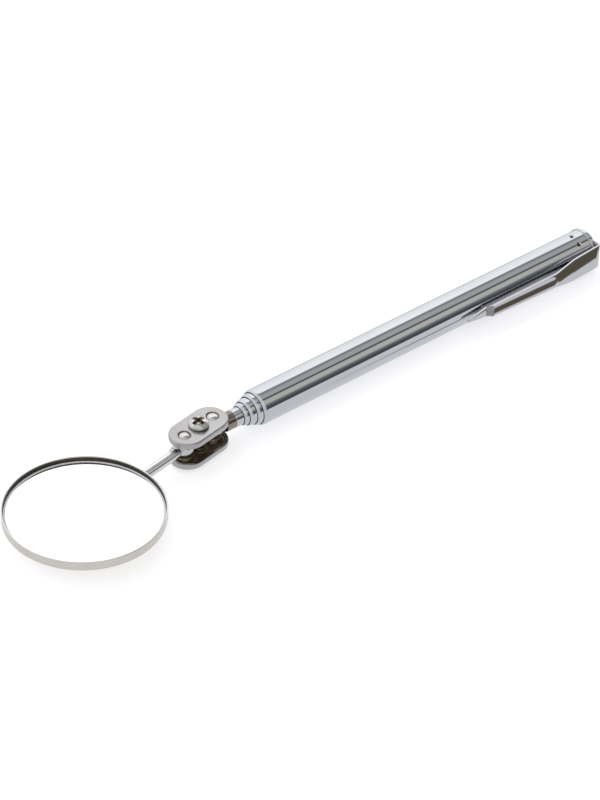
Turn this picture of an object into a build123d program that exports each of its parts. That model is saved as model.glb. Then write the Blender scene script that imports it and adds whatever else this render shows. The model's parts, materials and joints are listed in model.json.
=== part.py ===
from build123d import *

import math
import os

# Telescoping inspection mirror, collapsed, lying along X. Millimetres, +Z up.
# The origin is on the surface under the middle of the whole tool. The barrel runs along X, its
# mouth towards the mirror at -X and its pocket clip at +X, with the clip on the -Y side.

# Telescope: five chromed tubes, outermost first
TUBE_RADII = (6.0, 5.25, 4.5, 3.75, 3.0)
TUBE_WALL = 0.4
BARREL_LENGTH = 140.4
FRONT_STEPS = (0.0, 1.9, 4.3, 5.9, 8.8)  # how far each tube's front end stands ahead of the barrel's
TAIL_STEPS = (0.0, 9.0, 10.5, 12.0, 13.5)  # how far each tube's tail lies inside the barrel's rear end
LIP_LENGTH = 0.8
LIP_GAP = 0.05
LIP_ROUND = 0.6
REAR_ROUND = 0.15

# Tail fittings: a grooved guide bush, and a bowed spring sleeve in its groove
BUSH_LENGTH = 8.0
BUSH_LAND = 1.2
BUSH_FLOOR = 0.1
GUIDE_GAP = 0.05
SPRING_SHEET = 0.1
SPRING_CROWN_GAP = 0.03
SPRING_END_GAP = 0.1
SPRING_SPLIT = 1.6

# Rear end: a flanged plug staked into the tube, with the clip riveted on its back
PLUG_LENGTH = 7.0
FLANGE_RADIUS = 6.3
FLANGE_THICKNESS = 1.3
FLANGE_ROUND = 0.5
RIVET_RADIUS = 1.25
RIVET_LENGTH = 5.0
RIVET_HEAD_RADIUS = 2.6
RIVET_HEAD_HEIGHT = 1.1
RIVET_HEAD_ROUND = 0.9
STAKE_RADIUS = 0.9
STAKE_DEPTH = 0.3
STAKE_INSET = 4.3
STAKE_ANGLES = (88.0, 127.0, 268.0, 307.0)  # degrees about the barrel, from +Y towards +Z

# Pocket clip: one stamping, a disc on the plug's back, a fold, and an arm that tapers to a nose.
# The nose steps in towards the barrel.
CLIP_SHEET = 0.7
CLIP_DISC_RADIUS = 5.8
CLIP_WIDTH = 8.8
CLIP_FOLD_RADIUS = 0.4
CLIP_HINGE_GAP = 0.03
CLIP_ARM_STATIONS = (0.0, 13.0, 21.5, 49.5, 50.9, 59.3)  # measured forward from the fold
CLIP_ARM_OUT = (7.75, 8.6, 9.3, 8.9, 7.75, 8.15)  # distance of the arm's outer face from the barrel's axis
CLIP_ARM_HALF_WIDTHS = (4.4, 4.25, 2.7, 2.05, 1.85, 0.45)
CLIP_FOLD_OUT = CLIP_ARM_OUT[0]

# Ball stud in the innermost tube
STUD_PLUG_LENGTH = 9.5
STUD_PLUG_GAP = 0.02
COLLAR_RADIUS = 2.95
COLLAR_LENGTH = 3.6
COLLAR_ROUND = 0.6
NECK_RADIUS = 1.7
BALL_RADIUS = 3.175
STUD_BALL_AHEAD = 7.5  # ball centre ahead of the innermost tube's front end

# Clamp: two stamped plates drawn together over both balls by one screw
HEAD_YAW = 9.3
BALL_SPACING = 12.8
PLATE_LENGTH = 21.8
PLATE_WIDTH = 11.9
PLATE_SHEET = 1.0
PLATE_OUT = 5.05  # outer face of each plate from the plane of the ball centres
FLANGE_HEIGHT = 2.0
PLATE_ROUND = 0.55
SEAT_GAP = 0.04
SEAT_RADIUS = 2.9
SEAT_TIP_RADIUS = 2.55
SEAT_TIP = 2.35
RING_GROOVE_RADII = (1.45, 2.2)
RING_GROOVE_DEPTH = 0.55
RING_GROOVE_ROUND = 0.25
DOME_RISE = 0.2
SCREW_RADIUS = 1.5
SCREW_HOLE_RADIUS = 1.58
TAPPED_HOLE_RADIUS = 1.55
TAPPED_BOSS_RADIUS = 2.3
TAPPED_BOSS_LENGTH = 1.5
SCREW_HEAD_RADIUS = 3.2
SCREW_HEAD_HEIGHT = 2.1
SCREW_HEAD_ROUND = 0.95
SCREW_TAIL = 0.5
RECESS_SPAN = 3.4
RECESS_WIDTH = 0.8
RECESS_DEPTH = 1.3

# Mirror head
ROD_RADIUS = 1.7
TENON_RADIUS = 1.15
TENON_GAP = 0.05
TENON_DEPTH = 2.2  # how far past the ball's centre the tenon reaches
ROD_START = 3.3  # from the ball's centre to the rod's shoulder
ROD_TO_CENTRE = 44.2  # from the mirror-side ball to the mirror's centre
CASE_RADIUS = 25.0
CASE_HEIGHT = 3.2
CASE_SHEET = 0.45
CASE_FLOOR = 0.4
CASE_BOTTOM_ROUND = 0.35
CASE_LIP_ROUND = 0.2
BACKING_THICKNESS = 0.2
BACKING_MARGIN = 0.6
GLASS_THICKNESS = 1.0
GLASS_MARGIN = 0.05
GLASS_BEVEL = 0.15
TONGUE_LENGTH = 12.0
TONGUE_HALF_WIDTH = 2.4
TONGUE_THICKNESS = 1.3
TONGUE_OVERHANG = 0.35  # the rod's full round stops this far outside the case wall

# Places in the row frame, worked out from the sizes above
YAW = math.radians(HEAD_YAW)
BALL_AHEAD = FRONT_STEPS[-1] + STUD_BALL_AHEAD
BALL_TO_MIRROR = BALL_SPACING + ROD_TO_CENTRE
MIRROR_AHEAD = BALL_AHEAD + BALL_TO_MIRROR * math.cos(YAW)
MIRROR_ASIDE = BALL_TO_MIRROR * math.sin(YAW)
CLIP_FRONT = BARREL_LENGTH + FLANGE_THICKNESS
CLIP_BACK = CLIP_FRONT + CLIP_SHEET
TOOL_BACK = CLIP_BACK + RIVET_HEAD_HEIGHT
MOUTH = Vector((MIRROR_AHEAD + CASE_RADIUS - TOOL_BACK) / 2, MIRROR_ASIDE, FLANGE_RADIUS)
BARREL_PLACE = Location(MOUTH)
STUD_BALL = MOUTH + Vector(-BALL_AHEAD, 0, 0)
HEAD_PLACE = Location(STUD_BALL, (0, 0, 180 + HEAD_YAW))
HEAD_DIRECTION = Vector(-math.cos(YAW), -math.sin(YAW), 0)
MIRROR_BALL = STUD_BALL + HEAD_DIRECTION * BALL_SPACING
MIRROR_CENTRE = MIRROR_BALL + HEAD_DIRECTION * ROD_TO_CENTRE
SCREW_PLACE = STUD_BALL + HEAD_DIRECTION * (BALL_SPACING / 2)
CLIP_FOLD = MOUTH + Vector(CLIP_FRONT + CLIP_SHEET / 2, -CLIP_FOLD_OUT + CLIP_SHEET, 0)


def turned(points, rounds=(), upright=False):
    """A solid turned from a closed outline of (along, radius) points, about X, or about Z if upright.

    rounds lists (corner, radius) pairs: corner is the point's place in the outline.
    """
    places = [(radius, along) for along, radius in points] if upright else points
    outline = make_face(Polyline(*places, close=True))
    for corner, radius in rounds:
        spot = Vector(*places[corner])
        outline = fillet(outline.vertices().sort_by_distance(spot)[0], radius)
    if upright:
        return revolve(Plane.XZ * outline, axis=Axis.Z)
    return revolve(outline, axis=Axis.X)


def export(shape, node):
    """Writes one node. A single solid is written as that solid, a group as a compound of solids."""
    solids = shape.solids()
    whole = solids[0] if len(solids) == 1 else Compound(children=list(solids))
    export_step(whole, f"parts/{node}.step")


def tube(number):
    """A tube of the telescope, its mouth rolled in until it just clears the next tube."""
    front = -FRONT_STEPS[number]
    rear = BARREL_LENGTH - TAIL_STEPS[number]
    outer = TUBE_RADII[number]
    bore = outer - TUBE_WALL
    if number + 1 == len(TUBE_RADII):
        outline = [(front, bore), (rear, bore), (rear, outer), (front, outer)]
        return turned(outline, rounds=[(3, REAR_ROUND)])
    lip = TUBE_RADII[number + 1] + LIP_GAP
    outline = [
        (front, lip),
        (front + LIP_LENGTH, lip),
        (front + LIP_LENGTH + bore - lip, bore),
        (rear, bore),
        (rear, outer),
        (front, outer),
    ]
    return turned(outline, rounds=[(5, LIP_ROUND), (4, REAR_ROUND)])


def barrel_tube():
    """The outermost tube, with the stake marks that hold the plug pressed into its wall."""
    body = tube(0)
    for angle in STAKE_ANGLES:
        body -= stake(angle)
    return body


def stake(angle):
    """One round punch mark: a shallow ball-ended dent at an angle about the barrel."""
    ball_radius = (STAKE_RADIUS**2 + STAKE_DEPTH**2) / (2 * STAKE_DEPTH)
    reach = TUBE_RADII[0] + ball_radius - STAKE_DEPTH
    turn = math.radians(angle)
    place = (BARREL_LENGTH - STAKE_INSET, reach * math.cos(turn), reach * math.sin(turn))
    return Pos(*place) * Sphere(ball_radius)


def guide_bush(number):
    """The bush on a tube's tail: two lands that run in the next tube out, a groove between them."""
    rear = BARREL_LENGTH - TAIL_STEPS[number]
    front = rear - BUSH_LENGTH
    inner = TUBE_RADII[number]
    outer = TUBE_RADII[number - 1] - TUBE_WALL - GUIDE_GAP
    floor = inner + BUSH_FLOOR
    outline = [
        (front, inner),
        (rear, inner),
        (rear, outer),
        (rear - BUSH_LAND, outer),
        (rear - BUSH_LAND, floor),
        (front + BUSH_LAND, floor),
        (front + BUSH_LAND, outer),
        (front, outer),
    ]
    return turned(outline)


def friction_spring(number):
    """The split, bowed sleeve in a bush's groove, which drags on the next tube out."""
    rear = BARREL_LENGTH - TAIL_STEPS[number] - BUSH_LAND - SPRING_END_GAP
    front = rear - BUSH_LENGTH + 2 * (BUSH_LAND + SPRING_END_GAP)
    middle = (front + rear) / 2
    low = TUBE_RADII[number] + BUSH_FLOOR
    crown = TUBE_RADII[number - 1] - TUBE_WALL - SPRING_CROWN_GAP
    outer = ThreePointArc((front, low + SPRING_SHEET), (middle, crown), (rear, low + SPRING_SHEET))
    inner = ThreePointArc((rear, low), (middle, crown - SPRING_SHEET), (front, low))
    ends = Line((rear, low + SPRING_SHEET), (rear, low)) + Line((front, low), (front, low + SPRING_SHEET))
    sleeve = revolve(make_face(outer + inner + ends), axis=Axis.X)
    split = Pos(middle, 0, -crown) * Box(BUSH_LENGTH, SPRING_SPLIT, 2 * crown)
    return sleeve - split


def end_plug():
    """The plug staked into the barrel's rear end: a body, a rounded flange, and a rivet hole."""
    front = BARREL_LENGTH - PLUG_LENGTH
    body = TUBE_RADII[0] - TUBE_WALL
    outline = [
        (front, RIVET_RADIUS),
        (CLIP_FRONT, RIVET_RADIUS),
        (CLIP_FRONT, FLANGE_RADIUS),
        (BARREL_LENGTH, FLANGE_RADIUS),
        (BARREL_LENGTH, body),
        (front, body),
    ]
    return turned(outline, rounds=[(2, FLANGE_ROUND), (3, FLANGE_ROUND / 2), (5, LIP_ROUND)])


def clip_rivet():
    """The round-headed rivet that holds the clip on the plug."""
    front = CLIP_BACK - RIVET_LENGTH
    outline = [
        (front, 0),
        (TOOL_BACK, 0),
        (TOOL_BACK, RIVET_HEAD_RADIUS),
        (CLIP_BACK, RIVET_HEAD_RADIUS),
        (CLIP_BACK, RIVET_RADIUS),
        (front, RIVET_RADIUS),
    ]
    return turned(outline, rounds=[(2, RIVET_HEAD_ROUND)])


def clip_bridge():
    """The clip's disc on the plug's back, and the tab that reaches out to the fold."""
    reach = CLIP_FOLD_OUT - CLIP_SHEET - CLIP_HINGE_GAP
    outline = Circle(CLIP_DISC_RADIUS) + Pos(-reach / 2, 0) * Rectangle(reach, CLIP_WIDTH)
    outline -= Circle(RIVET_RADIUS)
    return extrude(Plane.YZ.offset(CLIP_FRONT) * outline, CLIP_SHEET)


def clip_arm():
    """The clip's arm: a folded root, a wide stretch, a long taper, and a nose stepped in to grip."""
    stations = [CLIP_BACK - reach for reach in CLIP_ARM_STATIONS]
    outer = [(x, -out) for x, out in zip(stations, CLIP_ARM_OUT)]
    inner = [(x, CLIP_SHEET - out) for x, out in zip(stations, CLIP_ARM_OUT)]
    side = make_face(Polyline(*outer, *reversed(inner), close=True))
    side = fillet(side.vertices().sort_by_distance(Vector(*outer[0]))[0], CLIP_FOLD_RADIUS)
    upper = list(zip(stations, CLIP_ARM_HALF_WIDTHS))
    lower = [(x, -half) for x, half in reversed(upper)]
    plan = Plane.XZ * make_face(Polyline(*upper, *lower, close=True))
    return extrude(side, CLIP_WIDTH / 2, both=True) & extrude(plan, 2 * CLIP_FOLD_OUT, both=True)


def ball_stud():
    """The turned stud pressed into the innermost tube: plug, collar, neck and ball."""
    front = -FRONT_STEPS[-1]
    centre = -BALL_AHEAD
    plug = TUBE_RADII[-1] - TUBE_WALL - STUD_PLUG_GAP
    outline = [
        (centre, 0),
        (front + STUD_PLUG_LENGTH, 0),
        (front + STUD_PLUG_LENGTH, plug),
        (front, plug),
        (front, COLLAR_RADIUS),
        (front - COLLAR_LENGTH, COLLAR_RADIUS),
        (front - COLLAR_LENGTH, NECK_RADIUS),
        (centre, NECK_RADIUS),
    ]
    stem = turned(outline, rounds=[(5, COLLAR_ROUND), (2, COLLAR_ROUND)])
    return stem + Pos(centre, 0, 0) * Sphere(BALL_RADIUS)


def plate_blank():
    """A clamp plate, outer face up, in the clamp's frame: X from ball to ball, Z from their plane."""
    middle = Pos(BALL_SPACING / 2, 0, 0)
    outer = extrude(middle * SlotOverall(PLATE_LENGTH, PLATE_WIDTH), PLATE_OUT)
    outer = fillet(outer.edges().group_by(Axis.Z)[-1], PLATE_ROUND + PLATE_SHEET / 2)
    hollow_size = (PLATE_LENGTH - 2 * PLATE_SHEET, PLATE_WIDTH - 2 * PLATE_SHEET)
    hollow = extrude(middle * SlotOverall(*hollow_size), PLATE_OUT - PLATE_SHEET)
    hollow = fillet(hollow.edges().group_by(Axis.Z)[-1], PLATE_ROUND)
    rim = PLATE_OUT - FLANGE_HEIGHT
    below = middle * Box(PLATE_LENGTH, PLATE_WIDTH, 2 * rim)
    return outer - hollow - below


def ball_seat():
    """The seat pressed into a plate over one ball: an annular ridge with a ball-shaped hollow."""
    outline = [
        (SEAT_TIP, 0),
        (SEAT_TIP, SEAT_TIP_RADIUS),
        (PLATE_OUT - PLATE_SHEET, SEAT_RADIUS),
        (PLATE_OUT - PLATE_SHEET / 2, SEAT_RADIUS),
        (PLATE_OUT - PLATE_SHEET / 2, 0),
    ]
    return turned(outline, upright=True)


def ring_groove():
    """The ring pressed round each seat on a plate's outer face."""
    low, high = RING_GROOVE_RADII
    floor = PLATE_OUT - RING_GROOVE_DEPTH
    outline = [
        (floor, low),
        (floor, high - RING_GROOVE_ROUND),
        (PLATE_OUT + DOME_RISE, high + RING_GROOVE_ROUND),
        (PLATE_OUT + DOME_RISE, low),
    ]
    return turned(outline, upright=True)


def seat_dome():
    """The low polished dome inside each ring."""
    edge = RING_GROOVE_RADII[0]
    radius = (edge**2 + DOME_RISE**2) / (2 * DOME_RISE)
    ball = Pos(0, 0, PLATE_OUT + DOME_RISE - radius) * Sphere(radius)
    cap = Pos(0, 0, PLATE_OUT) * Cylinder(edge, 2 * DOME_RISE)
    return ball & cap


def clamp_plate(hole_radius, boss=False):
    """One clamp plate with its two ball seats and its screw hole."""
    plate = plate_blank()
    for along in (0, BALL_SPACING):
        plate += Pos(along, 0, 0) * ball_seat()
    if boss:
        inner_face = PLATE_OUT - PLATE_SHEET
        middle = inner_face - TAPPED_BOSS_LENGTH / 2
        plate += Pos(BALL_SPACING / 2, 0, middle) * Cylinder(TAPPED_BOSS_RADIUS, TAPPED_BOSS_LENGTH)
    plate -= Pos(BALL_SPACING / 2, 0, PLATE_OUT / 2) * Cylinder(hole_radius, 2 * PLATE_OUT)
    for along in (0, BALL_SPACING):
        plate -= Pos(along, 0, 0) * Sphere(BALL_RADIUS + SEAT_GAP)
        plate -= Pos(along, 0, 0) * ring_groove()
        plate += Pos(along, 0, 0) * seat_dome()
    return plate


def clamp_plate_top():
    """The upper plate, drilled clear for the screw."""
    return HEAD_PLACE * clamp_plate(SCREW_HOLE_RADIUS)


def clamp_plate_bottom():
    """The lower plate, the same stamping turned over, with a tapped boss."""
    turned_over = Pos(BALL_SPACING / 2, 0, 0) * Rot(180, 0, 0) * Pos(-BALL_SPACING / 2, 0, 0)
    return HEAD_PLACE * turned_over * clamp_plate(TAPPED_HOLE_RADIUS, boss=True)


def clamp_screw():
    """The pan head screw with a cross recess, through both plates."""
    top = PLATE_OUT + SCREW_HEAD_HEIGHT
    outline = [
        (-PLATE_OUT - SCREW_TAIL, 0),
        (top, 0),
        (top, SCREW_HEAD_RADIUS),
        (PLATE_OUT, SCREW_HEAD_RADIUS),
        (PLATE_OUT, SCREW_RADIUS),
        (-PLATE_OUT - SCREW_TAIL, SCREW_RADIUS),
    ]
    screw = turned(outline, [(2, SCREW_HEAD_ROUND), (5, SCREW_HEAD_ROUND / 4)], upright=True)
    slot = Pos(0, 0, top) * Box(RECESS_SPAN, RECESS_WIDTH, 2 * RECESS_DEPTH)
    screw -= slot
    screw -= Rot(0, 0, 90) * slot
    return Location(SCREW_PLACE, (0, 0, HEAD_YAW)) * screw


def mirror_place():
    """The frame of the mirror-side ball: X along the rod towards the mirror."""
    return Location(MIRROR_BALL, (0, 0, 180 + HEAD_YAW))


def swivel_ball():
    """The ball on the mirror's side, bored for the rod's tenon."""
    bore_length = BALL_RADIUS + TENON_DEPTH + TENON_GAP
    middle = BALL_RADIUS - bore_length / 2
    bore = Pos(middle, 0, 0) * Rot(0, 90, 0) * Cylinder(TENON_RADIUS + TENON_GAP, bore_length)
    return mirror_place() * (Sphere(BALL_RADIUS) - bore)


def mirror_rod():
    """The rod from the ball to the mirror: tenon, round shank and a flat tongue under the case."""
    shank_end = ROD_TO_CENTRE - CASE_RADIUS - TONGUE_OVERHANG
    outline = [
        (-TENON_DEPTH, 0),
        (shank_end + ROD_RADIUS, 0),
        (shank_end + ROD_RADIUS, ROD_RADIUS),
        (ROD_START, ROD_RADIUS),
        (ROD_START, TENON_RADIUS),
        (-TENON_DEPTH, TENON_RADIUS),
    ]
    shank = turned(outline, rounds=[(3, ROD_RADIUS - TENON_RADIUS)])
    clear = Pos(shank_end + ROD_RADIUS, 0, ROD_RADIUS) * Box(2 * ROD_RADIUS, 4 * ROD_RADIUS, 2 * ROD_RADIUS)
    tongue_middle = shank_end + TONGUE_LENGTH / 2
    blank = Pos(tongue_middle, 0) * SlotOverall(TONGUE_LENGTH, 2 * TONGUE_HALF_WIDTH)
    tongue = extrude(blank, -TONGUE_THICKNESS)
    return mirror_place() * (shank - clear + tongue)


def mirror_level(height):
    """A place over the mirror's centre, at a height above the back of its case."""
    return Location(MIRROR_CENTRE + Vector(0, 0, height))


def mirror_case():
    """The pressed steel cup that holds the glass."""
    inner = CASE_RADIUS - CASE_SHEET
    outline = [
        (0, 0),
        (0, CASE_RADIUS),
        (CASE_HEIGHT, CASE_RADIUS),
        (CASE_HEIGHT, inner),
        (CASE_FLOOR, inner),
        (CASE_FLOOR, 0),
    ]
    rounds = [(1, CASE_BOTTOM_ROUND), (2, CASE_LIP_ROUND), (3, CASE_LIP_ROUND)]
    return mirror_level(0) * turned(outline, rounds, upright=True)


def mirror_backing():
    """The thin protective disc between the case and the silvered back of the glass."""
    radius = CASE_RADIUS - CASE_SHEET - BACKING_MARGIN
    disc = Cylinder(radius, BACKING_THICKNESS)
    return mirror_level(CASE_FLOOR + BACKING_THICKNESS / 2) * disc


def mirror_glass():
    """The round glass, with a fine ground edge."""
    disc = Cylinder(CASE_RADIUS - CASE_SHEET - GLASS_MARGIN, GLASS_THICKNESS)
    disc = chamfer(disc.edges(), GLASS_BEVEL)
    return mirror_level(CASE_FLOOR + BACKING_THICKNESS + GLASS_THICKNESS / 2) * disc


def main():
    """Builds every piece and writes it as its own node."""
    os.makedirs("parts", exist_ok=True)
    on_barrel = {
        "barrel_tube": barrel_tube(),
        "end_plug": end_plug(),
        "clip_rivet": clip_rivet(),
        "clip_bridge": clip_bridge(),
        "clip_arm": clip_arm(),
        "ball_stud": ball_stud(),
    }
    for number in range(1, len(TUBE_RADII)):
        on_barrel[f"section_{number}_tube"] = tube(number)
        on_barrel[f"section_{number}_bush"] = guide_bush(number)
        on_barrel[f"section_{number}_spring"] = friction_spring(number)
    for node, shape in on_barrel.items():
        export(BARREL_PLACE * shape, node)
    on_head = {
        "clamp_plate_top": clamp_plate_top(),
        "clamp_plate_bottom": clamp_plate_bottom(),
        "clamp_screw": clamp_screw(),
        "swivel_ball": swivel_ball(),
        "mirror_rod": mirror_rod(),
        "mirror_case": mirror_case(),
        "mirror_backing": mirror_backing(),
        "mirror_glass": mirror_glass(),
    }
    for node, shape in on_head.items():
        export(shape, node)


if __name__ == "__main__":
    main()
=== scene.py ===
import json
import math

import bmesh
import bpy
from mathutils import Matrix, Vector


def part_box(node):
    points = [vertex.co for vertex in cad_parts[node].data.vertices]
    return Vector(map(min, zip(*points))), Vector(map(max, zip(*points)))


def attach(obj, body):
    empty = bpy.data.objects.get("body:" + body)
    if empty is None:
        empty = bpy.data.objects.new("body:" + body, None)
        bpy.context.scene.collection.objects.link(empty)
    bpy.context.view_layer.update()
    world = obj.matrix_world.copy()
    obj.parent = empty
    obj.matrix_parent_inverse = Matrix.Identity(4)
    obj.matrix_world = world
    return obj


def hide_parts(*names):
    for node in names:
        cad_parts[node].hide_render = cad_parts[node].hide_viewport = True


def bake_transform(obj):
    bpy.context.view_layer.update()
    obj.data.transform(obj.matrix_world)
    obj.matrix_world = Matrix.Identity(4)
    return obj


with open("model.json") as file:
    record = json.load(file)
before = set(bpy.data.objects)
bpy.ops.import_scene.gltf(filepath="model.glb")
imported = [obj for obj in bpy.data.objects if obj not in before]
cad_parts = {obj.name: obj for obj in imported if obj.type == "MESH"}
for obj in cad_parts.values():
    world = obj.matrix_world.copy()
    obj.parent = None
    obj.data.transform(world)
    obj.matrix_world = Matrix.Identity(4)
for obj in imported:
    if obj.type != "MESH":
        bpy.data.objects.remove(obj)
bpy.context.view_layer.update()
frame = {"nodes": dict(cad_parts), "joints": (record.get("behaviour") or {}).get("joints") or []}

# Sizes are in millimetres, in a piece's own frame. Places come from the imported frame, in metres.
MM = 0.001
SEGMENTS = 144
FINE_SEGMENTS = 360
ARC_STEPS = 7
SHARP_ANGLE = math.radians(33)
GUARD = 0.12
TEST_GAP = 0.1

# Places
JOINTS = {joint["name"]: joint for joint in frame["joints"]}


def middle(node):
    """The middle of a CAD node's box."""
    low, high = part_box(node)
    return (low + high) / 2


def frame_at(place, yaw=0.0):
    """A frame in millimetres with its origin at a place, turned about Z."""
    return Matrix.Translation(place) @ Matrix.Rotation(yaw, 4, "Z") @ Matrix.Scale(MM, 4)


MOUTH = Vector((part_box("barrel_tube")[0].x, middle("barrel_tube").y, middle("barrel_tube").z))
STUD_BALL = Vector(JOINTS["clamp_swivel"]["pos_m"])
SCREW_AXIS = Vector(JOINTS["clamp_screw_turn"]["pos_m"])
MIRROR_BALL = Vector(JOINTS["mirror_swivel"]["pos_m"])
HEAD_LINE = MIRROR_BALL - STUD_BALL
HEAD_YAW = math.atan2(HEAD_LINE.y, HEAD_LINE.x)
CASE_BACK = Vector((middle("mirror_case").x, middle("mirror_case").y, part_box("mirror_case")[0].z))

BARREL = frame_at(MOUTH)
HEAD = frame_at(STUD_BALL, HEAD_YAW)
SCREW = frame_at(SCREW_AXIS, HEAD_YAW)
ROD = frame_at(MIRROR_BALL, HEAD_YAW)
CASE = frame_at(CASE_BACK, HEAD_YAW)


def span(node, axis=0):
    """Lowest and highest reach of a CAD node along a barrel-frame axis, in millimetres."""
    low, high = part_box(node)
    return (low[axis] - MOUTH[axis]) / MM, (high[axis] - MOUTH[axis]) / MM


# Mesh helpers

def circle(bm, centre, radius, height, count=SEGMENTS):
    """A ring of vertices level with Z."""
    turns = [2 * math.pi * k / count for k in range(count)]
    return [
        bm.verts.new((centre + radius * math.cos(t), radius * math.sin(t), height)) for t in turns
    ]


def skin(bm, rings, closed=False):
    """Joins rings of vertices. A ring of one vertex is a pole."""
    following = rings[1:] + rings[:1] if closed else rings[1:]
    for first, second in zip(rings, following):
        count = max(len(first), len(second))
        for k in range(count):
            n = (k + 1) % count
            corners = []
            corners += [first[0]] if len(first) == 1 else [first[k], first[n]]
            corners += [second[0]] if len(second) == 1 else [second[n], second[k]]
            if len(corners) > 2:
                bm.faces.new(corners)


def fill(bm, *rings):
    """Fills the flat area inside the first ring and outside the others."""
    edges = []
    for ring in rings:
        for a, b in zip(ring, ring[1:] + ring[:1]):
            edges.append(bm.edges.get((a, b)) or bm.edges.new((a, b)))
    bmesh.ops.triangle_fill(bm, use_beauty=True, use_dissolve=False, edges=edges)


def rounded(points, rounds, closed=True):
    """An outline with some corners rounded: rounds maps a point's index to its radius.

    A guard point just before and after each arc keeps the shading of the flats even.
    """
    out = []
    count = len(points)
    for index, point in enumerate(points):
        radius = rounds.get(index)
        if not radius:
            out.append(Vector(point))
            continue
        here = Vector(point)
        back = (Vector(points[index - 1]) - here).normalized()
        ahead = (Vector(points[(index + 1) % count]) - here).normalized()
        half = back.angle(ahead) / 2
        reach = radius / math.tan(half)
        centre = here + (back + ahead).normalized() * (radius / math.sin(half))
        start = here + back * reach
        stop = here + ahead * reach
        out.append(start + back * radius * GUARD)
        first = start - centre
        last = stop - centre
        sweep = first.angle_signed(last)
        for step in range(ARC_STEPS + 1):
            turn = -sweep * step / ARC_STEPS
            cos, sin = math.cos(turn), math.sin(turn)
            spoke = Vector((first.x * cos - first.y * sin, first.x * sin + first.y * cos))
            out.append(centre + spoke)
        out.append(stop + ahead * radius * GUARD)
    return [(p.x, p.y) for p in out]


def arc(centre, radius, start, stop, steps=24):
    """Points of (along, radius) on a circle about (centre, 0), from one angle to another."""
    turns = [math.radians(start + (stop - start) * k / steps) for k in range(steps + 1)]
    return [(centre + radius * math.cos(t), max(radius * math.sin(t), 0.0)) for t in turns]


def turned(outline, upright=False, segments=SEGMENTS, closed=True):
    """A mesh turned from an outline of (along, radius) points, about X, or about Z if upright."""
    bm = bmesh.new()
    rings = []
    for along, radius in outline:
        ring = []
        for k in range(segments if radius > 1e-5 else 1):
            t = 2 * math.pi * k / segments
            across, up = radius * math.cos(t), radius * math.sin(t)
            ring.append(bm.verts.new((across, up, along) if upright else (along, across, up)))
        rings.append(ring)
    skin(bm, rings, closed)
    return bm


def piece(name, bm, place, body, material, slot, *replaced, others=()):
    """Turns a bmesh into a shown piece that stands for some CAD nodes.

    The others are pairs of a material and a test: faces whose middle passes the test take it.
    """
    bmesh.ops.recalc_face_normals(bm, faces=bm.faces)
    for face in bm.faces:
        face.smooth = True
        for number, (_, test) in enumerate(others, 1):
            if test(face.calc_center_median()):
                face.material_index = number
    for edge in bm.edges:
        if len(edge.link_faces) == 2 and edge.calc_face_angle(0.0) > SHARP_ANGLE:
            edge.smooth = False
    mesh = bpy.data.meshes.new(name)
    bm.to_mesh(mesh)
    bm.free()
    mesh.transform(place)
    mesh.materials.append(material)
    for other, _ in others:
        mesh.materials.append(other)
    shown = bpy.data.objects.new(name, mesh)
    bpy.context.scene.collection.objects.link(shown)
    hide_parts(*replaced)
    if body:
        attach(shown, body)
    return shown


# Materials
NOISE_LOW, NOISE_HIGH = 0.3, 0.7
TONE_SCALE = 60
GLOSS_SCALE = 900
GLOSS_DETAIL = 6.0
GRAIN_DETAIL = 3.0


def new_material(name):
    """An empty material with its principled shader."""
    material = bpy.data.materials.new(name)
    material.use_nodes = True
    nodes = material.node_tree.nodes
    nodes.clear()
    output = nodes.new("ShaderNodeOutputMaterial")
    shader = nodes.new("ShaderNodeBsdfPrincipled")
    material.node_tree.links.new(shader.outputs["BSDF"], output.inputs["Surface"])
    return material, shader


def noise(material, scale, stretch=(1, 1, 1), detail=4.0):
    """Noise in the piece's own space, with about scale features in a metre."""
    nodes, links = material.node_tree.nodes, material.node_tree.links
    where = nodes.new("ShaderNodeTexCoord")
    mapping = nodes.new("ShaderNodeMapping")
    mapping.inputs["Scale"].default_value = stretch
    texture = nodes.new("ShaderNodeTexNoise")
    texture.inputs["Scale"].default_value = scale
    texture.inputs["Detail"].default_value = detail
    links.new(where.outputs["Object"], mapping.inputs["Vector"])
    links.new(mapping.outputs["Vector"], texture.inputs["Vector"])
    return texture


def spread(material, texture, low, high, socket):
    """Maps a texture's middle range onto a socket."""
    nodes, links = material.node_tree.nodes, material.node_tree.links
    limits = nodes.new("ShaderNodeMapRange")
    limits.inputs["From Min"].default_value = NOISE_LOW
    limits.inputs["From Max"].default_value = NOISE_HIGH
    limits.inputs["To Min"].default_value = low
    limits.inputs["To Max"].default_value = high
    links.new(texture.outputs["Fac"], limits.inputs["Value"])
    links.new(limits.outputs["Result"], socket)


def bumped(material, shader, texture, depth):
    """Adds fine relief, with its depth in metres."""
    nodes, links = material.node_tree.nodes, material.node_tree.links
    bump = nodes.new("ShaderNodeBump")
    bump.inputs["Strength"].default_value = 1.0
    bump.inputs["Distance"].default_value = depth
    links.new(texture.outputs["Fac"], bump.inputs["Height"])
    links.new(bump.outputs["Normal"], shader.inputs["Normal"])


def tinted(material, shader, texture, dark, light):
    """Colour that wanders between two tones."""
    nodes, links = material.node_tree.nodes, material.node_tree.links
    ramp = nodes.new("ShaderNodeValToRGB")
    ramp.color_ramp.elements[0].position = NOISE_LOW
    ramp.color_ramp.elements[0].color = (*dark, 1)
    ramp.color_ramp.elements[1].position = NOISE_HIGH
    ramp.color_ramp.elements[1].color = (*light, 1)
    links.new(texture.outputs["Fac"], ramp.inputs["Fac"])
    links.new(ramp.outputs["Color"], shader.inputs["Base Color"])


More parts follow.
